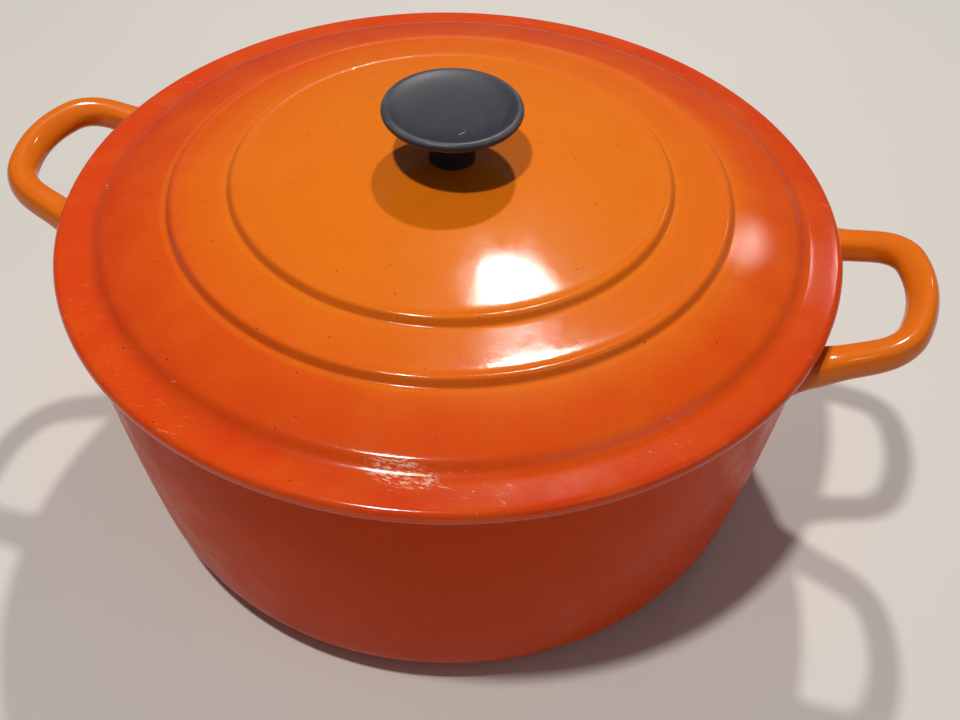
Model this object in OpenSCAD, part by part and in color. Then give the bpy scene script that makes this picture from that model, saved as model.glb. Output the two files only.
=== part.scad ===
// Round enamelled cast iron dutch oven: a pot with two loop handles, and a stepped lid
// with a knob held on by one screw from below. The origin is the middle of the foot, on
// the table; +Z is up and the handles lie along +X and -X.

/* [Pot] */
// Outer radius of the pot at its rim
pot_r = 143; // [120:1:160]
// Height of the rim above the table
rim_z = 121.3; // [100:0.1:140]
// Thickness of the wall, coats included
wall_t = 4; // [3.5:0.1:5]
// Thickness of the floor, coats included
floor_t = 4.6; // [4:0.1:6]
// How far the wall leans in from the rim to the bottom corner, as a straight line
wall_lean = 5; // [2:0.5:8]
// How much further its curve takes it in
wall_curve = 3.5; // [1:0.5:6]
// Radius of the corner between wall and base, outside and inside
corner_r = 18; // [12:1:24]
// Outer radius of the ring that the pot stands on
foot_r = 114; // [90:1:116]
// Width of that ring
foot_w = 7; // [4:1:10]
// How far the ring stands below the base
foot_h = 1.2; // [0.8:0.1:2]
// Thickness of each enamel coat
coat_t = 0.4; // [0.3:0.1:0.6]

/* [Handles] */
// Distance from the pot's axis to a handle's outer end
handle_reach = 182.7; // [178:0.1:195]
// Height of a handle's centre line where it leaves the wall
handle_root_z = 109.7; // [100:0.1:112]
// How steeply the loop rises away from the pot, in degrees
handle_tilt = 19; // [10:0.5:22]
// Width of the bar, in the plane of the loop
bar_w = 12; // [10:0.5:16]
// Thickness of the bar
bar_t = 10.5; // [8:0.5:11]
// Radius of the loop's outer stretch, along the middle of the bar
front_r = 58; // [50:1:75]
// Half of the angle that this stretch spans
front_angle = 19.5; // [16:0.5:22]
// Radius of the loop's two corners, along the middle of the bar
bend_r = 17.5; // [14:0.5:18]
// How much each leg spreads on its way to the wall, in degrees
leg_spread = 12; // [6:1:16]

/* [Lid] */
// How far the lid stands out past the pot's rim
lid_overhang = 4.5; // [3:0.5:6]
// Thickness of the lid's flange at its edge
flange_t = 5.8; // [5:0.1:6.5]
// How far the flange falls on its way out
flange_slope = 0.5; // [0:0.1:1]
// Height of the lid's middle above the rim plane
lid_rise = 25.5; // [23:0.1:28]
// Radius at the foot of the outer step
step_1_r = 105.9; // [100:0.1:112]
// Height of that foot above the rim plane
step_1_z = 14.6; // [13:0.1:16]
// Radius at the foot of the inner step
step_2_r = 83.5; // [70:0.1:90]
// Height of that foot above the rim plane
step_2_z = 18.9; // [18.5:0.1:19.5]
// Height of each step
step_h = 2.2; // [1.6:0.1:2.4]
// Gap between the lid's locating lip and the pot's wall
lip_gap = 1.4; // [0.8:0.1:2.5]
// Depth of the lip below the rim plane
lip_h = 3; // [2:0.5:6]

/* [Knob] */
// Radius of the knob's disc
knob_r = 25.7; // [20:0.1:30]
// Height of the knob
knob_h = 22.5; // [22:0.1:30]
// Radius of the knob's stem
stem_r = 8.4; // [7:0.1:10]
// Depth of the dish in the knob's top
dish_h = 1.5; // [0:0.1:2]

/* [Screw] */
// Radius of the screw's thread
screw_r = 2.95; // [2.4:0.05:3]
// Length of thread held by the knob's insert
thread_l = 8; // [6:0.5:10]
// Radius of the screw's head
head_r = 5.5; // [5:0.1:6.5]
// Height of the screw's head
head_h = 3.2; // [2.4:0.1:4]
// Radius of the washer
washer_r = 7; // [6.6:0.1:9]
// Thickness of the washer
washer_t = 1.2; // [0.8:0.1:2]

/* [Hidden] */
$fn = 96;

// Pot
curve_power = 2.4;
floor_z = foot_h + floor_t;
draft = atan((wall_lean + curve_power * wall_curve) / (rim_z - foot_h - corner_r));
corner_z = foot_h + corner_r * (1 - sin(draft));
straight_z = rim_z - 2;
wall_steps = 12;

// Handles
loop_depth = (handle_reach - bar_w / 2 - pot_r) / cos(handle_tilt);
front_x = loop_depth - front_r;
bend_x = front_x + (front_r - bend_r) * cos(front_angle);
bend_y = (front_r - bend_r) * sin(front_angle);
leg_angle = 90 - leg_spread;
leg_step = (bend_x + 8) / 6;
root_l = 9;
root_spread = 0.22;
bar_sides = 20;

// Lid
lid_r = pot_r + lid_overhang;
lid_top_z = rim_z + lid_rise;
lid_under_z = lid_top_z - 4;
flange_z = rim_z + flange_t;
edge_r = flange_t / 2;
cove_r = 136.5 / 147.5 * lid_r;
shoulder_r = cove_r - 6.5;
shoulder_z = flange_z + 3.6;
lip_r = pot_r - wall_t - lip_gap;
lip_w = 4;
lip_z = rim_z - lip_h;
dome_under_r = lip_r - lip_w - 5.6;
dome_under_z = rim_z + 4.5;
hole_r = 3.5;
hub_r = 12;
disc_w = step_2_r - 6 - hub_r;
disc_drop = lid_rise - step_2_z - step_h + 0.1;

// Knob, insert and fastener
knob_edge_r = 1.8;
insert_r = 4.5;
insert_bore_r = 3;
insert_l = 13;
insert_recess = 0.6;
washer_z = lid_under_z - washer_t;
screw_l = washer_t + (lid_top_z - lid_under_z) + insert_recess + thread_l;
washer_bore_r = 3.2;
slot_w = 1.4;
slot_h = 1.5;

// Points along an arc about c, from angle a to angle b
function arc(c, r, a, b, n = 8) = [
    for (i = [0:n]) let (t = a + (b - a) * i / n) [c[0] + r * cos(t), c[1] + r * sin(t)]
];

// The same line moved by d to the right of its run
function inset(p, d) = [
    for (i = [0:len(p) - 1])
        let (run = p[min(i + 1, len(p) - 1)] - p[max(i - 1, 0)])
        p[i] + d * [run[1], -run[0]] / norm(run)
];

function backwards(p) = [for (i = [len(p) - 1:-1:0]) p[i]];

// Outer radius of the pot's wall at height z, with a short straight stretch at the rim
function wall_r(z) =
    let (s = max(0, (min(z, straight_z) - corner_z) / (straight_z - corner_z)))
    pot_r - wall_lean * (1 - s) - wall_curve * pow(1 - s, curve_power);

// Wall points from height a up to the rim, moved in by d
function wall(a, d) = concat(
    [
        for (i = [0:wall_steps])
            let (z = a + (straight_z - a) * i / wall_steps)
            [wall_r(z) - d, z]
    ],
    [[pot_r - d, rim_z - coat_t]]
);

// Corner between wall and base that ends flat at height z
function corner(z, d) =
    let (start_z = z + corner_r * (1 - sin(draft)))
    arc([wall_r(start_z) - d - corner_r * cos(draft), z + corner_r], corner_r, -90, -draft);

// Outside of the pot from the foot up to the rim
function pot_outside() = concat(
    [[foot_r, foot_h]],
    corner(foot_h, 0),
    wall(corner_z + 4, 0)
);

// Inside of the pot from the rim down to the middle of the floor
function pot_inside() = concat(
    backwards(wall(floor_z + corner_r + 2, wall_t)),
    backwards(corner(floor_z, wall_t)),
    [[0, floor_z]]
);

// Step round the lid, from the crest of its lip out to its foot
function step(r, z) = concat(
    [[r - 6, z + step_h - 0.1], [r - 4.6, z + step_h + 0.2]],
    arc([r - 3.2, z + step_h - 1.4], 2, 90, 30, 6),
    arc([r + 0.6, z + 1.3], 1.5, 215, 260, 4)
);

// Top of the lid from its hole out and round the edge to the seat
function lid_top() = concat(
    [[hole_r, lid_top_z], [hub_r, lid_top_z]],
    [for (s = [0.2, 0.35, 0.5, 0.65, 0.8, 0.92]) [hub_r + disc_w * s, lid_top_z - disc_drop * s * s]],
    step(step_2_r, rim_z + step_2_z),
    step(step_1_r, rim_z + step_1_z),
    [[118, shoulder_z + 2.9], [126, shoulder_z + 1.1], [shoulder_r, shoulder_z]],
    arc([cove_r, flange_z + 8 + flange_slope], 8, 236, 267, 6),
    arc([lid_r - edge_r, rim_z + edge_r], edge_r, 90, -90, 16),
    [[lid_r - edge_r - 0.5, rim_z]]
);

// Underside of the lid from the lip in to the hole
function lid_under() = concat(
    [[lip_r, rim_z]],
    arc([lip_r - 1, lip_z + 1], 1, 0, -90, 5),
    arc([lip_r - lip_w + 1, lip_z + 1], 1, 270, 215, 5),
    [
        for (s = [1, 0.92, 0.84, 0.74, 0.64, 0.54, 0.42, 0.3, 0.15])
            [dome_under_r * s, lid_under_z - (lid_under_z - dome_under_z) * pow(s, 2.2)]
    ],
    [[hub_r, lid_under_z], [hole_r, lid_under_z]]
);

// A thin coat laid on a line, on the right of its run
module coat(line) {
    rotate_extrude() polygon(concat(line, backwards(inset(line, coat_t))));
}

module pot_solid() {
    outside = inset(backwards(pot_outside()), coat_t);
    rotate_extrude() polygon(concat([[0, rim_z]], [[pot_r - coat_t, rim_z]], outside, [[0, foot_h]]));
}

// Stations of half a loop, from the middle of its outer stretch to the wall: each holds
// the place of the bar's middle and the way its width faces, in degrees
half_loop = concat(
    [for (i = [0:5]) let (t = front_angle * i / 6) [[front_x, 0] + front_r * heading(t), t]],
    [
        for (i = [0:9])
            let (t = front_angle + (leg_angle - front_angle) * i / 9)
            [[bend_x, bend_y] + bend_r * heading(t), t]
    ],
    [
        for (i = [1:6])
            [
                [bend_x, bend_y] + bend_r * heading(leg_angle) + i * leg_step * heading(leg_angle + 90),
                leg_angle
            ]
    ]
);

function heading(t) = [cos(t), sin(t)];

// Ring of points round the bar at a station, which spreads as it meets the wall
function bar_ring(station) =
    let (root = max(0, root_l - station[0][0]) / root_l)
    let (w = bar_w / 2 * (1 + root_spread * root * root))
    let (h = bar_t / 2 * (1 + root_spread * root * root))
    [
        for (k = [0:bar_sides - 1])
            let (a = 360 * k / bar_sides)
            let (across = w * sign(cos(a)) * pow(abs(cos(a)), 0.8))
            let (up = h * sign(sin(a)) * pow(abs(sin(a)), 0.8))
            [
                station[0][0] + across * cos(station[1]),
                station[0][1] + across * sin(station[1]),
                up
            ]
    ];

// The whole bar as one closed solid, in the plane of the loop
module bar() {
    mirrored = [for (s = half_loop) [[s[0][0], -s[0][1]], -s[1]]];
    stations = concat(backwards(mirrored), [for (i = [1:len(half_loop) - 1]) half_loop[i]]);
    rings = len(stations);
    n = bar_sides;
    polyhedron(
        points = [for (s = stations) each bar_ring(s)],
        faces = concat(
            [[for (k = [n - 1:-1:0]) k]],
            [
                for (i = [0:rings - 2], k = [0:n - 1])
                    let (a = i * n + k, b = i * n + (k + 1) % n)
                    [a, b, a + n]
            ],
            [
                for (i = [0:rings - 2], k = [0:n - 1])
                    let (a = i * n + k, b = i * n + (k + 1) % n)
                    [a + n, b, b + n]
            ],
            [[for (k = [0:n - 1]) (rings - 1) * n + k]]
        )
    );
}

module loop() {
    translate([pot_r, 0, handle_root_z])
        rotate([0, -handle_tilt, 0])
            bar();
}

module handle() {
    difference() {
        loop();
        pot_solid();
    }
}

module pot_casting() {
    outside = inset(backwards(pot_outside()), coat_t);
    inside = backwards(inset(pot_inside(), -coat_t));
    foot = [
        [foot_r, foot_h + coat_t], [foot_r, 0.4], [foot_r - 0.4, 0],
        [foot_r - foot_w + 0.4, 0], [foot_r - foot_w, 0.4], [foot_r - foot_w, foot_h + coat_t],
        [0, foot_h + coat_t]
    ];
    color("dimgray")
        rotate_extrude()
            polygon(concat(outside, foot, inside));
}

module right_handle() {
    color("darkorange") handle();
}

module left_handle() {
    color("darkorange") mirror([1, 0, 0]) handle();
}

module pot_outer_enamel() {
    color("orangered")
        difference() {
            coat(backwards(pot_outside()));
            loop();
            mirror([1, 0, 0]) loop();
        }
}

module pot_base_enamel() {
    color("orangered")
        translate([0, 0, foot_h]) cylinder(r = foot_r - foot_w, h = coat_t);
}

module pot_inner_enamel() {
    line = pot_inside();
    color("ivory")
        rotate_extrude()
            polygon(concat(line, backwards(inset(line, -coat_t))));
}

module pot_rim_coat() {
    color("black")
        translate([0, 0, rim_z - coat_t])
            difference() {
                cylinder(r = pot_r, h = coat_t);
                translate([0, 0, -1]) cylinder(r = pot_r - wall_t, h = coat_t + 2);
            }
}

module lid_casting() {
    top = inset(lid_top(), coat_t);
    under = inset(lid_under(), coat_t);
    color("dimgray")
        rotate_extrude()
            polygon(concat(top, [[lip_r - coat_t, rim_z + coat_t]], under));
}

module lid_outer_enamel() {
    color("orangered") coat(lid_top());
}

module lid_inner_enamel() {
    color("ivory") coat(lid_under());
}

module lid_rim_coat() {
    color("black")
        translate([0, 0, rim_z])
            difference() {
                cylinder(r = lid_r - edge_r - 0.5, h = coat_t);
                translate([0, 0, -1]) cylinder(r = lip_r - coat_t, h = coat_t + 2);
            }
}

module knob() {
    top = lid_top_z + knob_h;
    color("#202024")
        difference() {
            rotate_extrude()
                polygon(concat(
                    [[0, lid_top_z], [stem_r + 0.4, lid_top_z], [stem_r, lid_top_z + 1.2]],
                    arc([stem_r + 15.5, top - 20.5], 15.5, 180, 108, 10),
                    arc([knob_r - knob_edge_r, top - knob_edge_r], knob_edge_r, -60, 90, 10),
                    [[knob_r * 0.78, top - dish_h * 0.5], [knob_r * 0.5, top - dish_h * 0.9], [0, top - dish_h]]
                ));
            translate([0, 0, lid_top_z - 1]) cylinder(r = insert_r, h = insert_recess + insert_l + 1);
        }
}

module knob_insert() {
    color("goldenrod")
        translate([0, 0, lid_top_z + insert_recess])
            difference() {
                cylinder(r = insert_r, h = insert_l);
                translate([0, 0, -1]) cylinder(r = insert_bore_r, h = insert_l);
            }
}

module knob_washer() {
    color("lightsteelblue")
        translate([0, 0, washer_z])
            difference() {
                cylinder(r = washer_r, h = washer_t);
                translate([0, 0, -1]) cylinder(r = washer_bore_r, h = washer_t + 2);
            }
}

module knob_screw() {
    color("lightsteelblue")
        difference() {
            union() {
                translate([0, 0, washer_z]) cylinder(r = screw_r, h = screw_l);
                rotate_extrude()
                    polygon(concat(
                        [[0, washer_z], [head_r, washer_z]],
                        arc([head_r - 1.6, washer_z - head_h + 1.6], 1.6, 0, -90, 6),
                        [[0, washer_z - head_h]]
                    ));
            }
            translate([-head_r - 1, -slot_w / 2, washer_z - head_h - 1])
                cube([2 * head_r + 2, slot_w, slot_h + 1]);
        }
}

pot_casting();
left_handle();
right_handle();
pot_outer_enamel();
pot_base_enamel();
pot_inner_enamel();
pot_rim_coat();
lid_casting();
lid_outer_enamel();
lid_inner_enamel();
lid_rim_coat();
knob();
knob_insert();
knob_washer();
knob_screw();
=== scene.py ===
import math

import bmesh
import bpy
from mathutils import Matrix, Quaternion, Vector


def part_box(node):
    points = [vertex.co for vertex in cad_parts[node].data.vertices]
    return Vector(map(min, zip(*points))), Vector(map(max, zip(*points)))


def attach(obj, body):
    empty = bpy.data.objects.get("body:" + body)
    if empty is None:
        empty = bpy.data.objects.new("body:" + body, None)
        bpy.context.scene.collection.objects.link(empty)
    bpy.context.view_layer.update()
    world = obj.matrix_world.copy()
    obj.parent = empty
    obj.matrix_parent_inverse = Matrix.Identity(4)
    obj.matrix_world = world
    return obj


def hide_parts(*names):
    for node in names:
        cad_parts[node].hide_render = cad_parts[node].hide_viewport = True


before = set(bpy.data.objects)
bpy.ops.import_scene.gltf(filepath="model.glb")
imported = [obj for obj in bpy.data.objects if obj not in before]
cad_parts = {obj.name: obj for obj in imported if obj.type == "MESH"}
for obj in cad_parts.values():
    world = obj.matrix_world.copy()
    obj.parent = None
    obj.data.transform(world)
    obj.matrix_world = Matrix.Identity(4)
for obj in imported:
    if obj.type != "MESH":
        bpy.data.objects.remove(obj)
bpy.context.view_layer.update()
mm = 0.001
print("frame loaded with", len(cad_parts), "parts")

# camera: standing a little to the right of the front, looking down at the lid
viewpoint = {
    "bearing": 15.32,  # degrees round from the front
    "out": 0.3217,
    "height": 0.3754,
    "lens": 39.2,
    "pitch": 43.64,  # degrees up from straight down
    "aim": -2.26,
    "roll": 1.86,
}


def makeCamera(view):
    camera = bpy.data.cameras.new("camera")
    camera.lens = view["lens"]
    camera.sensor_width = 36
    camera.clip_start = 0.01
    holder = bpy.data.objects.new("camera", camera)
    bpy.context.scene.collection.objects.link(holder)
    bearing = math.radians(view["bearing"])
    holder.location = (view["out"] * math.sin(bearing), -view["out"] * math.cos(bearing), view["height"])
    yaw = Quaternion((0, 0, 1), math.radians(view["bearing"] + view["aim"]))
    pitch = Quaternion((1, 0, 0), math.radians(view["pitch"]))
    roll = Quaternion((0, 0, 1), math.radians(view["roll"]))
    holder.rotation_mode = "QUATERNION"
    holder.rotation_quaternion = yaw @ pitch @ roll
    bpy.context.scene.camera = holder


makeCamera(viewpoint)

# lamps: bearing and climb in degrees, distance and size in metres, watts, colour
lampPlan = {
    "lampBack": (93, 56, 1.5, 0.07, 11.0, (1.0, 0.96, 0.90)),
    "lampNear": (245, 74.5, 1.5, 0.09, 12.5, (1.0, 0.96, 0.90)),
    "lampSide": (66, 34, 2.0, 0.10, 0.6, (1.0, 0.98, 0.96)),
    "lampFill": (-20, 40, 2.0, 1.6, 2.0, (1.0, 0.98, 0.96)),
}
roomLight = {"colour": (0.95, 0.97, 1.0, 1), "strength": 0.10}


def makeLamps(plan, room, aim):
    for name, (bearing, climb, away, size, power, tint) in plan.items():
        light = bpy.data.lights.new(name, "AREA")
        light.shape = "DISK"
        light.size = size
        light.energy = power
        light.color = tint
        lamp = bpy.data.objects.new(name, light)
        bpy.context.scene.collection.objects.link(lamp)
        turn = math.radians(bearing)
        lift = math.radians(climb)
        towards = Vector((math.cos(turn) * math.cos(lift), math.sin(turn) * math.cos(lift), math.sin(lift)))
        lamp.location = aim + towards * away
        lamp.rotation_mode = "QUATERNION"
        lamp.rotation_quaternion = towards.to_track_quat("Z", "Y")
    world = bpy.data.worlds.new("room")
    world.use_nodes = True
    sky = world.node_tree.nodes["Background"]
    sky.inputs["Color"].default_value = room["colour"]
    sky.inputs["Strength"].default_value = room["strength"]
    bpy.context.scene.world = world
    bpy.context.scene.view_settings.view_transform = "Standard"


makeLamps(lampPlan, roomLight, Vector((0, 0, 0.13)))
print("camera and lamps set")


class Wire:
    # a socket that sums can be written with
    def __init__(self, paint, socket):
        self.paint = paint
        self.socket = socket

    def sum(self, operation, first, second):
        return self.paint.node("ShaderNodeMath", {"operation": operation}, {0: first, 1: second})

    def __add__(self, other):
        return self.sum("ADD", self, other)

    __radd__ = __add__

    def __sub__(self, other):
        return self.sum("SUBTRACT", self, other)

    def __rsub__(self, other):
        return self.sum("SUBTRACT", other, self)

    def __mul__(self, other):
        return self.sum("MULTIPLY", self, other)

    __rmul__ = __mul__

    def __gt__(self, other):
        return self.sum("GREATER_THAN", self, other)

    def __lt__(self, other):
        return self.sum("LESS_THAN", self, other)


class Paint:
    # one material, and short ways to add its nodes
    def __init__(self, name):
        self.material = bpy.data.materials.new(name)
        self.material.use_nodes = True
        self.tree = self.material.node_tree
        self.tree.nodes.clear()

    def node(self, kind, settings=None, values=None, output=0):
        made = self.tree.nodes.new(kind)
        for key, value in (settings or {}).items():
            if key == "stops":
                self.setStops(made.color_ramp, value)
            else:
                setattr(made, key, value)
        for key, value in (values or {}).items():
            if isinstance(value, Wire):
                self.tree.links.new(value.socket, made.inputs[key])
            else:
                made.inputs[key].default_value = value
        return Wire(self, made.outputs[output])

    def setStops(self, ramp, stops):
        while len(ramp.elements) < len(stops):
            ramp.elements.new(0.5)
        for element, (position, colour) in zip(ramp.elements, stops):
            element.position = position
            element.color = colour

    def place(self):
        # where a point is on the object, in millimetres
        spot = self.node("ShaderNodeTexCoord", output="Object")
        return self.node("ShaderNodeVectorMath", {"operation": "SCALE"}, {0: spot, "Scale": 1 / mm})

    def split(self, vector):
        first = self.node("ShaderNodeSeparateXYZ", None, {0: vector})
        return [Wire(self, socket) for socket in first.socket.node.outputs]

    def fromAxis(self, vector):
        flat = self.node("ShaderNodeVectorMath", {"operation": "MULTIPLY"}, {0: vector, 1: (1, 1, 0)})
        return self.node("ShaderNodeVectorMath", {"operation": "LENGTH"}, {0: flat}, "Value")

    def stretch(self, vector, scale, turn=0.0):
        values = {"Vector": vector, "Scale": scale, "Rotation": (0, 0, math.radians(turn))}
        return self.node("ShaderNodeMapping", None, values)

    def noise(self, vector, size, detail=2.0, rough=0.5):
        values = {"Vector": vector, "Scale": 1 / size, "Detail": detail, "Roughness": rough}
        return self.node("ShaderNodeTexNoise", None, values)

    def ease(self, value, low, high):
        settings = {"interpolation_type": "SMOOTHSTEP"}
        return self.node("ShaderNodeMapRange", settings, {"Value": value, "From Min": low, "From Max": high})

    def specks(self, vector, spacing, size, share):
        # round spots, one in some of the cells
        cells = self.node("ShaderNodeTexVoronoi", None, {"Vector": vector, "Scale": 1 / spacing})
        pick = self.split(Wire(self, cells.socket.node.outputs["Color"]))[0]
        spot = 1 - self.ease(cells, size / spacing * 0.6, size / spacing)
        return spot * (pick < share)

    def mix(self, amount, under, over, way="MIX"):
        settings = {"data_type": "RGBA", "blend_type": way}
        return self.node("ShaderNodeMix", settings, {0: amount, 6: under, 7: over}, 2)

    def bump(self, height, depth, under=None):
        values = {"Height": height, "Distance": depth * mm, "Strength": 1}
        if under:
            values["Normal"] = under
        return self.node("ShaderNodeBump", None, values)

    def finish(self, values):
        shader = self.node("ShaderNodeBsdfPrincipled", None, values)
        out = self.tree.nodes.new("ShaderNodeOutputMaterial")
        self.tree.links.new(shader.socket, out.inputs["Surface"])
        return self.material


lidGlaze = {
    "peel": (1.5, 0.016),  # size and depth of the orange peel, mm
    "ripple": (9, 0.04),  # longer waves in the fired surface
    "grain": (0.45, 0.016),  # the finest pitting
    "gloss": (0.06, 0.12),  # least and most roughness
    "shine": 0.36,
    "coatRoughness": 0.30,  # a haze over the shine
    "pinhole": (5.5, 0.36, 0.45),  # spacing, radius and share of the dark pinholes
    "fleck": (1.5, 0.20, 0.6),  # the same for the fine flecks between them
}
potGlaze = {
    "peel": (1.6, 0.02),
    "ripple": (8, 0.05),
    "grain": (0.5, 0.010),
    "gloss": (0.22, 0.36),
    "shine": 0.03,
    "coatRoughness": 0.08,
    "pinhole": (6, 0.34, 0.4),
    "fleck": (1.7, 0.16, 0.4),
}


def glazeOver(paint, place, colour, look, coat, worn=0.0):
    # fired enamel: pinholes, grain, orange peel and a soft haze over a sharp shine
    holes = paint.specks(place, *look["pinhole"])
    size, depth = look["grain"]
    grain = paint.noise(place, size, 3, 0.7)
    fine = paint.ease(grain, 0.3, 0.7)
    flecks = paint.specks(place, *look["fleck"])
    colour = paint.mix(0.12 * (1 - fine) + 0.45 * flecks, colour, (0.12, 0.03, 0.006, 1), "MULTIPLY")
    colour = paint.mix(holes * 0.9, colour, (0.012, 0.006, 0.004, 1))
    cloud = paint.ease(paint.noise(place, 16, 3, 0.6), 0.3, 0.7)
    low, high = look["gloss"]
    roughness = low + (high - low) * cloud + 0.3 * holes + worn * 0.25
    ripple = paint.bump(paint.noise(place, look["ripple"][0], 2), look["ripple"][1])
    peel = paint.bump(paint.noise(place, look["peel"][0], 2, 0.6), look["peel"][1], ripple)
    pitted = paint.bump(grain, depth, peel)
    pits = paint.bump(1 - holes, 0.12, pitted)
    return paint.finish({
        "Base Color": colour,
        "Roughness": roughness,
        "Specular IOR Level": look["shine"],
        "Coat Weight": coat,
        "Coat Roughness": look["coatRoughness"],
        "Normal": pits,
    })


lidColours = {
    # distance from the middle in mm, and the colour there
    "stops": [
        (0, (0.84, 0.200, 0.0060, 1)),
        (70, (0.82, 0.180, 0.0055, 1)),
        (88, (0.80, 0.155, 0.0050, 1)),
        (102, (0.78, 0.130, 0.0045, 1)),
        (110, (0.74, 0.085, 0.0035, 1)),
        (127, (0.70, 0.066, 0.0030, 1)),
        # the dip at 136 mm darkens the cove between dome and flange: painted shade; the lift at 142 mm lightens
        # the flange: painted sheen
        (136, (0.66, 0.048, 0.0026, 1)),
        (142, (0.74, 0.056, 0.0034, 1)),
    ],
    "reach": 150,
    "drift": 9,  # mm that noise shifts the colours by
    # painted highlight: the lighter ring colour at each step's foot, and the foot radii it is painted at
    "footGlint": (0.88, 0.24, 0.010, 1),
    "footGlintRadii": (84.5, 107),
    # middle of the front scuff, which is partly a painted highlight on the cove
    "scuffGlintAt": (21, -132),
}


def lidEnamelFinish(look, colours):
    paint = Paint("lidEnamel")
    place = paint.place()
    x, y, z = paint.split(place)
    out = paint.fromAxis(place)
    wander = colours["drift"] * (paint.noise(place, 34, 3) - 0.5)
    # the small tilt with x and y draws the right side lighter and the back a little darker: painted light and
    # shade
    across = out + wander - 0.08 * x + 0.02 * y
    stops = [(at / colours["reach"], colour) for at, colour in colours["stops"]]
    colour = paint.node("ShaderNodeValToRGB", {"stops": stops}, {0: across * (1 / colours["reach"])})
    # a lighter orange ring at each step's foot: painted highlight for the glint of the hollow there
    for radius in colours["footGlintRadii"]:
        away = paint.node("ShaderNodeMath", {"operation": "ABSOLUTE"}, {0: out - radius})
        footGlintMask = 1 - paint.ease(away, 0.2, 1.7)
        colour = paint.mix(0.22 * footGlintMask, colour, colours["footGlint"])
    blotch = paint.ease(paint.noise(place, 22, 4, 0.6), 0.35, 0.75)
    colour = paint.mix(0.10 * blotch, colour, (0.95, 0.30, 0.02, 1))
    # a pale scuff at the front of the flange, partly scrapes and partly a painted highlight where the cove
    # catches the lamp, and rubbed patches where the lid is set down and wiped
    atX, atY = colours["scuffGlintAt"]
    ax = x - atX
    ay = y - atY
    near = 1 - paint.ease(ax * ax * 0.35 + ay * ay * 2.4, 20, 62)
    scrapeGlint = paint.noise(paint.stretch(place, (0.5, 2.0, 1), 8), 1.5, 5, 0.75)
    scuffGlint = paint.ease(scrapeGlint, 0.50, 0.60) * near
    ring = paint.ease(out, 126, 132) * (1 - paint.ease(out, 146, 150))
    drag = paint.noise(paint.stretch(place, (0.35, 1.6, 1), 12), 2.2, 4, 0.7)
    rub = paint.ease(drag, 0.60, 0.72) * ring * paint.ease(paint.noise(place, 30), 0.42, 0.62)
    colour = paint.mix(rub * 0.45, colour, (0.86, 0.36, 0.18, 1))
    # the pale scuff colour: scrapes, partly painted highlight
    colour = paint.mix(scuffGlint * 0.75, colour, (0.90, 0.62, 0.46, 1))
    # chips along the lower edge, down to the iron
    edge = 1 - paint.ease(z, 122.5, 123.3)
    sparse = paint.ease(paint.noise(place, 24), 0.44, 0.52)
    chip = paint.ease(paint.noise(place, 2.8, 3, 0.65), 0.53, 0.56) * edge * sparse
    colour = paint.mix(chip, colour, (0.014, 0.009, 0.007, 1))
    return glazeOver(paint, place, colour, look, 0.09, rub + chip + scuffGlint)


potColours = {
    "wall": (0.76, 0.066, 0.0030, 1),
    "foot": (0.70, 0.058, 0.0035, 1),
    "handle": (0.80, 0.170, 0.0050, 1),
    "thin": (0.30, 0.050, 0.0060, 1),
}


def potEnamelFinish(look, colours):
    paint = Paint("potEnamel")
    place = paint.place()
    x, y, z = paint.split(place)
    out = paint.fromAxis(place)
    cloud = paint.noise(place, 40, 3)
    colour = paint.mix(paint.ease(z + 16 * cloud, 8, 45), colours["foot"], colours["wall"])
    onHandle = paint.ease(out + 4 * cloud, 145, 153)
    colour = paint.mix(onHandle, colour, colours["handle"])
    blotch = paint.ease(paint.noise(place, 14, 4, 0.6), 0.45, 0.8)
    colour = paint.mix(0.08 * blotch, colour, colours["thin"])
    return glazeOver(paint, place, colour, look, 0.015 + 0.7 * onHandle)


def creamFinish():
    paint = Paint("creamEnamel")
    place = paint.place()
    x, y, z = paint.split(place)
    out = paint.fromAxis(place)
    cloud = paint.noise(place, 26, 4, 0.6)
    stain = paint.ease(cloud, 0.42, 0.75) * (1 - paint.ease(z, 8, 40))
    tide = paint.ease(paint.noise(place, 60), 0.45, 0.6) * (1 - paint.ease(z, 60, 90))
    colour = paint.mix(stain * 0.5, (0.78, 0.70, 0.55, 1), (0.42, 0.27, 0.13, 1))
    colour = paint.mix(tide * 0.12, colour, (0.50, 0.36, 0.20, 1))
    specks = paint.specks(place, 6, 0.3, 0.5)
    colour = paint.mix(specks * 0.6, colour, (0.16, 0.09, 0.05, 1))
    drag = paint.noise(paint.stretch(place, (0.2, 2.4, 1), 35), 1.4, 4, 0.7)
    scratch = paint.ease(drag, 0.62, 0.70) * (1 - paint.ease(out, 105, 125))
    colour = paint.mix(scratch * 0.2, colour, (0.40, 0.36, 0.30, 1))
    peel = paint.bump(paint.noise(place, 2.2, 2), 0.02)
    return paint.finish({
        "Base Color": colour,
        "Roughness": 0.16 + 0.22 * scratch + 0.14 * stain,
        "Coat Weight": 0.3,
        "Coat Roughness": 0.12,
        "Normal": peel,
    })


def rimFinish():
    paint = Paint("mattBlackRim")
    place = paint.place()
    grain = paint.noise(place, 0.7, 3, 0.6)
    worn = paint.ease(paint.noise(place, 9, 4, 0.65), 0.58, 0.72)
    colour = paint.mix(worn * 0.5, (0.012, 0.012, 0.013, 1), (0.075, 0.060, 0.050, 1))
    return paint.finish({
        "Base Color": colour,
        "Roughness": 0.5 + 0.25 * grain,
        "Normal": paint.bump(grain, 0.05),
    })


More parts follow.
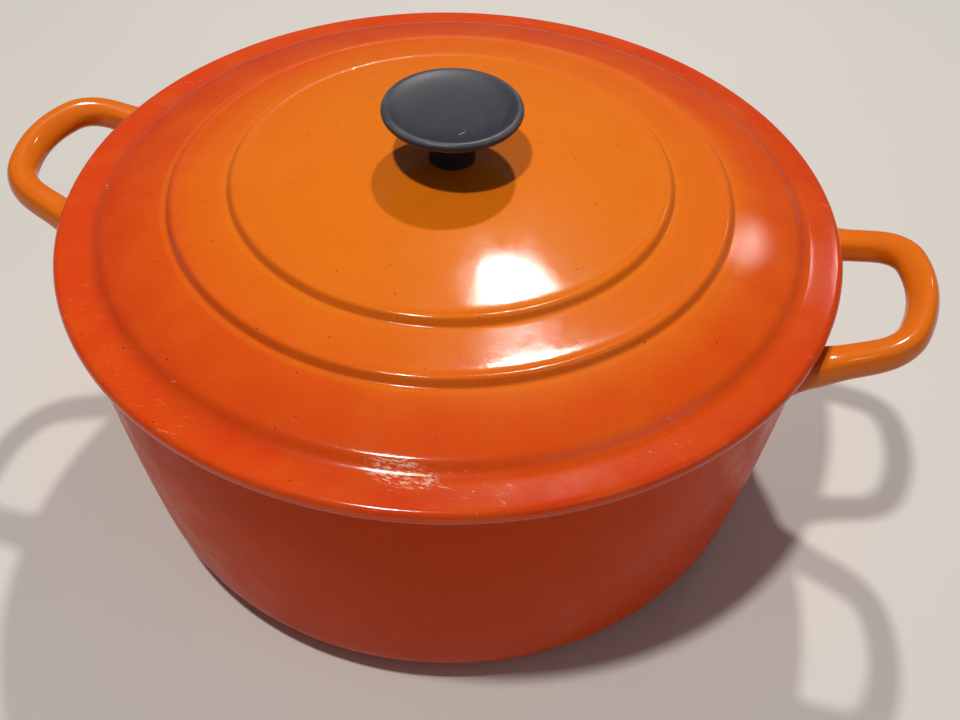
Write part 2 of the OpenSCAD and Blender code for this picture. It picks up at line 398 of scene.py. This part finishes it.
def ironFinish():
    paint = Paint("castIron")
    place = paint.place()
    grain = paint.noise(place, 1.1, 5, 0.65)
    rust = paint.ease(paint.noise(place, 8, 5, 0.7), 0.52, 0.70)
    polished = paint.ease(paint.noise(place, 3, 3), 0.45, 0.65)
    colour = paint.mix(polished, (0.040, 0.038, 0.037, 1), (0.085, 0.082, 0.080, 1))
    colour = paint.mix(rust * 0.6, colour, (0.13, 0.045, 0.016, 1))
    return paint.finish({
        "Base Color": colour,
        "Metallic": 0.75 - 0.6 * rust,
        "Roughness": 0.45 + 0.3 * grain + 0.15 * rust,
        "Normal": paint.bump(grain, 0.12),
    })


knobLook = {
    "resin": (0.012, 0.012, 0.015, 1),
    # painted sheen: the bluish tone of the room's reflection, laid over the resin
    "bluishSheen": (0.040, 0.041, 0.070, 1),
    # painted highlight: the paler colour of the knob's rim
    "rimHighlight": (0.13, 0.12, 0.13, 1),
    "scratch": (0.30, 0.30, 0.31, 1),
    "scratchAt": (7.5, -15.0),  # middle of the one deep scratch on the dish
}


def knobFinish(look):
    paint = Paint("blackResin")
    place = paint.place()
    x, y, z = paint.split(place)
    brushed = paint.noise(paint.stretch(place, (1.6, 0.22, 1), -8), 1.2, 4, 0.7)
    sheenPatches = paint.ease(paint.noise(place, 9, 3), 0.35, 0.7)
    streakSheen = paint.ease(brushed, 0.45, 0.75) * sheenPatches
    out = paint.fromAxis(place)
    # the bluish tone, strongest along the brushed streaks, is a painted sheen for the room's reflection on the
    # resin
    colour = paint.mix(0.35 + 0.55 * streakSheen, look["resin"], look["bluishSheen"])
    # a paler ring round the rounded edge: painted highlight where the lamps catch the rim
    rimLine = paint.ease(out, 23.3, 24.4) * (1 - paint.ease(out, 25.3, 25.7))
    colour = paint.mix(rimLine * (0.35 + 0.5 * sheenPatches), colour, look["rimHighlight"])
    atX, atY = look["scratchAt"]
    along = paint.node("ShaderNodeMath", {"operation": "ABSOLUTE"}, {0: (x - atX) * 0.59 + (y - atY) * 0.81})
    aside = paint.node("ShaderNodeMath", {"operation": "ABSOLUTE"}, {0: (y - atY) * 0.59 - (x - atX) * 0.81})
    wobble = 0.35 * paint.noise(place, 0.9)
    scratch = (1 - paint.ease(along, 1.2, 1.5)) * (1 - paint.ease(aside + wobble, 0.28, 0.42))
    nick = paint.ease(paint.noise(place, 1.3, 4, 0.7), 0.68, 0.74) * paint.ease(out, 23.2, 24.2)
    marks = scratch + nick * 0.5
    colour = paint.mix(marks, colour, look["scratch"])
    skin = paint.bump(brushed, 0.012)
    return paint.finish({
        "Base Color": colour,
        "Roughness": 0.40 + 0.16 * streakSheen + 0.2 * marks,
        "Specular IOR Level": 0.33,
        "Normal": paint.bump(paint.noise(place, 0.5, 2), 0.006, skin),
    })


def brassFinish():
    paint = Paint("insertBrass")
    place = paint.place()
    tarnish = paint.ease(paint.noise(place, 2.5, 4, 0.6), 0.4, 0.7)
    return paint.finish({
        "Base Color": paint.mix(tarnish, (0.62, 0.40, 0.14, 1), (0.28, 0.16, 0.06, 1)),
        "Metallic": 1.0,
        "Roughness": 0.28 + 0.25 * tarnish,
        "Normal": paint.bump(paint.noise(place, 0.4, 3), 0.01),
    })


def steelFinish():
    paint = Paint("screwSteel")
    place = paint.place()
    turned = paint.noise(paint.stretch(place, (0.3, 0.3, 6)), 0.8, 3, 0.6)
    stain = paint.ease(paint.noise(place, 2.4, 4, 0.65), 0.5, 0.72)
    return paint.finish({
        "Base Color": paint.mix(stain * 0.7, (0.52, 0.51, 0.49, 1), (0.22, 0.15, 0.09, 1)),
        "Metallic": 1 - 0.5 * stain,
        "Roughness": 0.25 + 0.12 * turned + 0.25 * stain,
        "Normal": paint.bump(turned, 0.012),
    })


lidEnamel = lidEnamelFinish(lidGlaze, lidColours)
potEnamel = potEnamelFinish(potGlaze, potColours)
cream = creamFinish()
rimBlack = rimFinish()
iron = ironFinish()
resin = knobFinish(knobLook)
brass = brassFinish()
steel = steelFinish()
print("finishes mixed")


def arc(centre, radius, start, end, steps):
    # points round an arc, angles in degrees
    turns = [math.radians(start + (end - start) * i / steps) for i in range(steps + 1)]
    return [(centre[0] + radius * math.cos(t), centre[1] + radius * math.sin(t)) for t in turns]


def turnLine(line, steps, around=360, closed=False, smooth=True):
    # spins a line of (radius, height) points about the pot's axis
    bm = bmesh.new()
    swell = 1
    if smooth:
        swell = 3 / (2 + math.cos(math.radians(around / steps)))  # smoothing pulls a ring in by as much
    verts = [bm.verts.new((radius * swell, 0, height)) for radius, height in line]
    edges = [bm.edges.new(pair) for pair in zip(verts, verts[1:])]
    if closed:
        edges.append(bm.edges.new((verts[-1], verts[0])))
    bmesh.ops.spin(
        bm, geom=verts + edges, axis=(0, 0, 1), cent=(0, 0, 0),
        angle=math.radians(around), steps=steps, use_merge=around == 360,
    )
    bmesh.ops.remove_doubles(bm, verts=bm.verts, dist=0.001)
    bmesh.ops.recalc_face_normals(bm, faces=bm.faces)
    return bm


def makePiece(name, bm, finish, body, nodes, levels=2, skin=0.0):
    # turns a shape in millimetres into a piece in place on its body
    bmesh.ops.scale(bm, vec=(mm, mm, mm), verts=bm.verts)
    mesh = bpy.data.meshes.new(name)
    bm.to_mesh(mesh)
    bm.free()
    mesh.shade_smooth()
    mesh.materials.append(finish)
    piece = bpy.data.objects.new(name, mesh)
    bpy.context.scene.collection.objects.link(piece)
    if levels:
        smooth = piece.modifiers.new("smooth", "SUBSURF")
        smooth.levels = levels
        smooth.render_levels = levels
    if skin:
        shell = piece.modifiers.new("skin", "SOLIDIFY")
        shell.thickness = skin * mm
        shell.offset = -1
        shell.use_even_offset = True
    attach(piece, body)
    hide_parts(*nodes)
    print("made", name)
    return piece


def inMm(node):
    low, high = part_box(node)
    return low / mm, high / mm


potLow, potHigh = inMm("pot_outer_enamel")
rimLow, rimHigh = inMm("pot_rim_coat")
loopLow, loopHigh = inMm("right_handle")
pot = {
    "radius": potHigh.x,
    "rimTop": rimHigh.z,
    "coatTop": potHigh.z,
    "base": potLow.z,
    "foot": 114,
    "footWidth": 7,
    "corner": 18,  # radius between wall and base
    "lean": 5,  # how far the wall comes in, straight and curved
    "curve": 3.5,
    "curvePower": 2.4,
    "straight": 2,  # upright stretch under the rim
    "wall": 4,
    "floor": 4.6,
    "coat": 0.4,
    "columns": 24,  # in a quarter
    "wallRows": (30, 42, 55, 68, 80, 90, 97.5),
}
handle = {
    "reach": loopHigh.x,
    "rootHeight": 109.7,
    "tilt": 19,
    "width": 12,
    "thick": 10.5,
    "frontRadius": 58,
    "frontAngle": 19.5,
    "bendRadius": 17.5,
    "legAngle": 78,
    "legStops": (19, 13, 6.5),  # rings along a leg, mm short of the bend
    "bendSteps": 4,
    "rootColumn": 4,  # columns from the side of the pot to the middle of a root
    "rootHalf": 7,  # half of the height of the opening for a root
    "rootLength": 9,
    "rootSpread": 0.22,
}
# half-widths round the bar: flat on top along a leg, dished towards the hand at the tip
legSection = {
    (1, 0): (1.03, 0.0), (1, 1): (0.95, 0.92), (0, 1): (0.0, 1.02), (-1, 1): (-0.93, 0.93),
    (-1, 0): (-1.02, 0.0), (-1, -1): (-0.93, -0.93), (0, -1): (0.0, -1.02), (1, -1): (0.93, -0.93),
}
tipSection = {
    (1, 0): (1.02, 0.0), (1, 1): (0.84, 0.88), (0, 1): (0.22, 1.02), (-1, 1): (-0.62, 0.48),
    (-1, 0): (-1.06, -0.14), (-1, -1): (-0.86, -0.80), (0, -1): (0.0, -1.02), (1, -1): (0.80, -0.86),
}


def wallRadius(height, size):
    low = size["base"] + size["corner"] * (1 - math.sin(size["draft"]))
    short = 1 - max(0, min(1, (height - low) / (size["rimTop"] - size["straight"] - low)))
    return size["radius"] - size["lean"] * short - size["curve"] * short ** size["curvePower"]


rise = pot["rimTop"] - pot["base"] - pot["corner"]
pot["draft"] = math.atan((pot["lean"] + pot["curvePower"] * pot["curve"]) / rise)


def cornerArc(bottom, inward, size, steps):
    start = bottom + size["corner"] * (1 - math.sin(size["draft"]))
    middle = wallRadius(start, size) - inward - size["corner"] * math.cos(size["draft"])
    centre = (middle, bottom + size["corner"])
    return arc(centre, size["corner"], -90, -math.degrees(size["draft"]), steps)


def loopStation(step, size):
    # middle of the bar and the way its width faces, from a leg to the tip
    kind, amount = step
    depth = (size["reach"] - size["width"] / 2 - pot["radius"]) / math.cos(math.radians(size["tilt"]))
    frontX = depth - size["frontRadius"]
    offset = size["frontRadius"] - size["bendRadius"]
    frontAngle = math.radians(size["frontAngle"])
    bendX = frontX + offset * math.cos(frontAngle)
    bendY = offset * math.sin(frontAngle)
    if kind == "front":
        turn = math.radians(amount)
        return Vector((frontX + size["frontRadius"] * math.cos(turn), size["frontRadius"] * math.sin(turn))), turn
    turn = math.radians(amount if kind == "bend" else size["legAngle"])
    middle = Vector((bendX + size["bendRadius"] * math.cos(turn), bendY + size["bendRadius"] * math.sin(turn)))
    if kind == "leg":
        middle += amount * Vector((-math.sin(turn), math.cos(turn)))
    return middle, turn


def barCorner(role, middle, turn, share, size):
    # one control point of the bar's section, placed on the tilted loop
    spread = max(0, (size["rootLength"] - middle.x) / size["rootLength"])
    swell = 1 + size["rootSpread"] * spread ** 2
    leg = Vector(legSection[role])
    tip = Vector(tipSection[role])
    across, up = leg.lerp(tip, share)
    across *= size["width"] / 2 * swell
    up *= size["thick"] / 2 * swell
    out = middle.x + across * math.cos(turn)
    side = middle.y + across * math.sin(turn)
    tilt = math.radians(size["tilt"])
    return Vector((
        pot["radius"] + out * math.cos(tilt) - up * math.sin(tilt),
        side,
        size["rootHeight"] + out * math.sin(tilt) + up * math.cos(tilt),
    ))


def openRoot(bm, size):
    # takes out two by two faces of the wall and returns the eight corners of the hole by role
    step = math.radians(90 / pot["columns"])
    centre = size["rootColumn"] * step
    gone = []
    for face in bm.faces:
        spot = face.calc_center_median()
        aside = abs(math.atan2(spot.y, spot.x) - centre)
        if aside < step and abs(spot.z - size["rootHeight"]) < size["rootHalf"]:
            gone.append(face)
    around = set(vert for face in gone for vert in face.verts)
    bmesh.ops.delete(bm, geom=gone, context="FACES")
    ring = {}
    for vert in around:
        if vert.is_valid:
            side = round((math.atan2(vert.co.y, vert.co.x) - centre) / step)
            up = round((vert.co.z - size["rootHeight"]) / size["rootHalf"])
            ring[(side, up)] = vert
    return ring


def growBar(bm, ring, stations, size):
    # walks the ring along half of the loop, from the wall to the tip
    for number, step in enumerate(stations):
        middle, turn = loopStation(step, size)
        share = number / (len(stations) - 1)
        corners = set(ring.values())
        edges = [edge for edge in bm.edges if edge.is_boundary and set(edge.verts) <= corners]
        made = bmesh.ops.extrude_edge_only(bm, edges=edges)
        fresh = [item for item in made["geom"] if isinstance(item, bmesh.types.BMVert)]
        grown = {}
        for role, vert in ring.items():
            grown[role] = min(fresh, key=lambda twin: (twin.co - vert.co).length)
        for role, vert in grown.items():
            vert.co = barCorner(role, middle, turn, share ** 1.5, size)
        ring = grown


def makePotOuter():
    root = handle["rootHeight"]
    half = handle["rootHalf"]
    line = [(pot["foot"], pot["base"])]
    line += cornerArc(pot["base"], 0, pot, 6)
    line += [(wallRadius(height, pot), height) for height in pot["wallRows"]]
    line += [(wallRadius(height, pot), height) for height in (root - half, root, root + half)]
    line += [(pot["radius"], pot["rimTop"] - pot["straight"]), (pot["radius"], pot["coatTop"])]
    bm = turnLine(line, pot["columns"], 90)
    ring = openRoot(bm, handle)
    bend = handle["legAngle"] - handle["frontAngle"]
    stations = [("leg", stop) for stop in handle["legStops"]]
    for i in range(handle["bendSteps"] + 1):
        stations.append(("bend", handle["legAngle"] - bend * i / handle["bendSteps"]))
    stations += [("front", handle["frontAngle"] / 2), ("front", 0)]
    growBar(bm, ring, stations, handle)
    for axis in "YX":
        everything = bm.verts[:] + bm.edges[:] + bm.faces[:]
        bmesh.ops.mirror(bm, geom=everything, merge_dist=0.01, axis=axis)
    bmesh.ops.remove_doubles(bm, verts=bm.verts, dist=0.001)
    bmesh.ops.recalc_face_normals(bm, faces=bm.faces)
    nodes = ("pot_outer_enamel", "left_handle", "right_handle")
    makePiece("potOuter", bm, potEnamel, "pot", nodes, 2, pot["coat"])


def makePotInner():
    floor = pot["base"] + pot["floor"]
    line = [(0, floor), (3, floor), (40, floor), (80, floor), (104, floor)]
    line += cornerArc(floor, pot["wall"], pot, 6)
    line += [(wallRadius(height, pot) - pot["wall"], height) for height in (34, 50, 66, 82, 98, 110)]
    top = pot["radius"] - pot["wall"]
    line += [(top, pot["rimTop"] - pot["straight"]), (top, pot["coatTop"])]
    bm = turnLine(line, 48)
    bmesh.ops.reverse_faces(bm, faces=bm.faces)
    makePiece("potInner", bm, cream, "pot", ["pot_inner_enamel"], 2, pot["coat"])


def makePotRim():
    inner = pot["radius"] - pot["wall"]
    low = pot["coatTop"]
    soft = 0.14  # rounding of the two upper edges
    top = pot["rimTop"]
    line = [(inner, low), (inner, top - soft), (inner + soft, top)]
    line += [(pot["radius"] - soft, top), (pot["radius"], top - soft), (pot["radius"], low)]
    bm = turnLine(line, 192, closed=True, smooth=False)
    makePiece("potRim", bm, rimBlack, "pot", ["pot_rim_coat"], 0)


def makePotBase():
    radius = pot["foot"] - pot["footWidth"]
    low = pot["base"]
    line = [(0, low), (4, low), (60, low), (radius - 1, low), (radius, low + 0.1), (radius, low + 0.3)]
    line += [(radius - 1, low + 0.4), (4, low + 0.4), (0, low + 0.4)]
    bm = turnLine(line, 96, smooth=False)
    makePiece("potBase", bm, potEnamel, "pot", ["pot_base_enamel"], 0)


makePotOuter()
makePotInner()
makePotRim()
makePotBase()

lidLow, lidHigh = inMm("lid_outer_enamel")
lid = {
    "radius": lidHigh.x,
    "seat": lidLow.z,
    "top": lidHigh.z,
    "flange": 5.8,
    "cove": 8,
    "coveStart": 136.5,
    "slope": 0.5,  # how far the flange falls on its way out
    "shoulderRise": 3.6,
    "steps": ((83.5, 18.9), (105.9, 14.6)),  # foot radius, and height over the seat
    "stepHeight": 2.2,
    "coat": 0.4,
    "hole": 3.5,
    "hub": 12,
    "lip": 137.6,
    "lipWidth": 4,
    "lipDepth": 3,
    "under": 128,
}


def stepLine(radius, height, size):
    # one of the raised rings: a rounded crest and a small hollow at its foot
    crest = height + size["stepHeight"]
    line = [(radius - 6, crest - 0.1), (radius - 4.6, crest + 0.2)]
    line += arc((radius - 3.2, crest - 1.4), 2, 90, 30, 4)
    line += arc((radius + 0.6, height + 1.3), 1.5, 215, 260, 3)
    return line


def makeLidOuter():
    flange = lid["seat"] + lid["flange"]
    shoulder = flange + lid["shoulderRise"]
    radius, height = lid["steps"][0]
    wide = radius - 6 - lid["hub"]
    drop = lid["top"] - lid["seat"] - height - lid["stepHeight"] + 0.1
    line = [(lid["hole"], lid["top"]), (lid["hub"], lid["top"])]
    line += [(lid["hub"] + wide * share, lid["top"] - drop * share ** 2) for share in (0.25, 0.5, 0.75)]
    for radius, height in lid["steps"]:
        line += stepLine(radius, lid["seat"] + height, lid)
    line += [(112, shoulder + 4.1), (118, shoulder + 2.9), (124, shoulder + 1.6)]
    line += [(128.4, shoulder + 0.5), (130, shoulder)]
    line += arc((lid["coveStart"], flange + lid["cove"] + lid["slope"]), lid["cove"], 236, 267, 4)
    edge = lid["flange"] / 2
    line += arc((lid["radius"] - edge, lid["seat"] + edge), edge, 90, -90, 12)
    line += [(lid["radius"] - edge - 0.5, lid["seat"])]
    bm = turnLine(line, 48)
    makePiece("lidOuter", bm, lidEnamel, "lid", ["lid_outer_enamel"], 2, lid["coat"])


def makeLidInner():
    roof = lid["top"] - 4
    drop = roof - lid["seat"] - 4.5
    lip = lid["lip"]
    low = lid["seat"] - lid["lipDepth"]
    inner = lip - lid["lipWidth"]
    line = [(lip, lid["seat"]), (lip, lid["seat"] - 1)]
    line += arc((lip - 1, low + 1), 1, 0, -90, 3)
    line += arc((inner + 1, low + 1), 1, 270, 215, 3)
    shares = (1, 0.92, 0.84, 0.74, 0.64, 0.54, 0.42, 0.3, 0.15)
    line += [(lid["under"] * share, roof - drop * share ** 2.2) for share in shares]
    line += [(lid["hub"], roof), (lid["hole"], roof)]
    bm = turnLine(line, 48)
    makePiece("lidInner", bm, cream, "lid", ["lid_inner_enamel"], 2, lid["coat"])


def makeLidRim():
    inner = lid["lip"] - lid["coat"]
    outer = lid["radius"] - lid["flange"] / 2 - 0.5
    low = lid["seat"]
    soft = 0.12
    line = [(inner, low), (outer - soft, low), (outer, low + soft), (outer, low + 0.4), (inner, low + 0.4)]
    bm = turnLine(line, 192, closed=True, smooth=False)
    makePiece("lidRim", bm, rimBlack, "lid", ["lid_rim_coat"], 0)


makeLidOuter()
makeLidInner()
makeLidRim()

knobLow, knobHigh = inMm("knob")
insertLow, insertHigh = inMm("knob_insert")
knob = {
    "radius": knobHigh.x,
    "low": knobLow.z,
    "top": knobHigh.z,
    "edge": 1.8,
    "dish": 1.5,
    "stem": 8.4,
    "flare": 15.5,
    "bore": insertHigh.x,
    "boreTop": insertHigh.z,
}


def makeKnob():
    stem = knob["stem"]
    top = knob["top"]
    edge = knob["edge"]
    line = [(0, knob["boreTop"]), (knob["bore"] - 0.3, knob["boreTop"]), (knob["bore"], knob["boreTop"] - 0.3)]
    line += [(knob["bore"], knob["low"] + 0.2), (knob["bore"] + 0.2, knob["low"])]
    line += [(stem + 0.2, knob["low"]), (stem + 0.4, knob["low"] + 0.3), (stem, knob["low"] + 1.2)]
    line += arc((stem + knob["flare"], top - 20.5), knob["flare"], 180, 108, 8)
    line += arc((knob["radius"] - edge, top - edge), edge, -60, 90, 8)
    line += [(knob["radius"] - edge - 1.2, top - 0.1), (knob["radius"] * 0.78, top - knob["dish"] * 0.5)]
    line += [(knob["radius"] * 0.5, top - knob["dish"] * 0.9), (3, top - knob["dish"]), (0, top - knob["dish"])]
    bm = turnLine(line, 32)
    makePiece("knobTop", bm, resin, "lid", ["knob"], 2)


makeKnob()

screwLow, screwHigh = inMm("knob_screw")
washerLow, washerHigh = inMm("knob_washer")
screw = {
    "head": screwHigh.x,
    "low": screwLow.z,
    "top": screwHigh.z,
    "under": washerLow.z,
    "thread": 2.95,
    "root": 2.45,
    "pitch": 1.0,
    "round": 1.6,
    "slotWidth": 1.4,
    "slotDepth": 1.5,
    "steps": 24,  # in one turn of thread
}


def threadShape():
    # a ridge spun round and up, then cut level at both ends
    turns = round((screw["top"] - screw["under"]) / screw["pitch"]) + 3
    bm = bmesh.new()
    start = screw["under"] - 1.5 * screw["pitch"]
    pitch = screw["pitch"]
    ridge = [(screw["root"], 0), (screw["thread"], 0.4 * pitch), (screw["thread"], 0.55 * pitch), (screw["root"], pitch)]
    verts = [bm.verts.new((radius, 0, start + height)) for radius, height in ridge]
    edges = [bm.edges.new(pair) for pair in zip(verts, verts[1:])]
    bmesh.ops.spin(
        bm, geom=verts + edges, axis=(0, 0, 1), cent=(0, 0, 0), dvec=(0, 0, pitch / screw["steps"]),
        angle=math.radians(360 * turns), steps=screw["steps"] * turns, use_merge=False,
    )
    bmesh.ops.remove_doubles(bm, verts=bm.verts, dist=0.001)
    ends = ((screw["under"] - 0.3, (0, 0, -1)), (screw["top"], (0, 0, 1)))
    for height, away in ends:
        everything = bm.verts[:] + bm.edges[:] + bm.faces[:]
        bmesh.ops.bisect_plane(bm, geom=everything, plane_co=(0, 0, height), plane_no=away, clear_outer=True)
    bmesh.ops.holes_fill(bm, edges=[edge for edge in bm.edges if edge.is_boundary], sides=0)
    bmesh.ops.recalc_face_normals(bm, faces=bm.faces)
    return bm


def makeScrew():
    bm = threadShape()
    line = [(0, screw["under"]), (screw["head"] - 0.2, screw["under"]), (screw["head"], screw["under"] - 0.2)]
    line += arc((screw["head"] - screw["round"], screw["low"] + screw["round"]), screw["round"], 0, -90, 6)
    line += [(0, screw["low"])]
    head = turnLine(line, 64, smooth=False)
    spare = bpy.data.meshes.new("head")
    head.to_mesh(spare)
    head.free()
    bm.from_mesh(spare)
    bpy.data.meshes.remove(spare)
    piece = makePiece("knobScrew", bm, steel, "screw", ["knob_screw"], 0)
    blade = bmesh.new()
    bmesh.ops.create_cube(blade, size=1)
    slot = (3 * screw["head"] * mm, screw["slotWidth"] * mm, 2 * screw["slotDepth"] * mm)
    bmesh.ops.scale(blade, vec=slot, verts=blade.verts)
    bmesh.ops.translate(blade, vec=(0, 0, screw["low"] * mm), verts=blade.verts)
    bladeMesh = bpy.data.meshes.new("blade")
    blade.to_mesh(bladeMesh)
    blade.free()
    cutter = bpy.data.objects.new("blade", bladeMesh)
    bpy.context.scene.collection.objects.link(cutter)
    cut = piece.modifiers.new("slot", "BOOLEAN")
    cut.operation = "DIFFERENCE"
    cut.solver = "EXACT"
    cut.object = cutter
    graph = bpy.context.evaluated_depsgraph_get()
    carved = bpy.data.meshes.new_from_object(piece.evaluated_get(graph))
    outward = bmesh.new()  # the cut can leave the shaft inside out
    outward.from_mesh(carved)
    bmesh.ops.recalc_face_normals(outward, faces=outward.faces)
    outward.to_mesh(carved)
    outward.free()
    piece.modifiers.clear()
    piece.data = carved
    bpy.data.objects.remove(cutter)
    carved.set_sharp_from_angle(angle=math.radians(35))


def makeWasher():
    outer = washerHigh.x
    bore = 3.2
    soft = 0.15
    low, high = washerLow.z, washerHigh.z
    line = [(bore, low), (outer - soft, low), (outer, low + soft), (outer, high - soft), (outer - soft, high)]
    line += [(bore, high)]
    bm = turnLine(line, 64, closed=True, smooth=False)
    piece = makePiece("knobWasher", bm, steel, "washer", ["knob_washer"], 0)
    piece.data.set_sharp_from_angle(angle=math.radians(35))


makeScrew()
makeWasher()

cadFinishes = {"pot_casting": iron, "lid_casting": iron, "knob_insert": brass}
for node, finish in cadFinishes.items():
    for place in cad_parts[node].material_slots:
        place.material = finish
print("castings and insert finished")

floorLook = {"size": 14, "colour": (0.74, 0.72, 0.69, 1), "mottle": (0.70, 0.68, 0.65, 1)}


def makeFloor(look):
    paint = Paint("floor")
    place = paint.place()
    colour = paint.mix(paint.noise(place, 300, 3), look["colour"], look["mottle"])
    finish = paint.finish({"Base Color": colour, "Roughness": 0.65})
    bm = bmesh.new()
    bmesh.ops.create_grid(bm, x_segments=1, y_segments=1, size=look["size"] / 2)
    mesh = bpy.data.meshes.new("floor")
    bm.to_mesh(mesh)
    bm.free()
    mesh.materials.append(finish)
    floor = bpy.data.objects.new("floor", mesh)
    bpy.context.scene.collection.objects.link(floor)


makeFloor(floorLook)
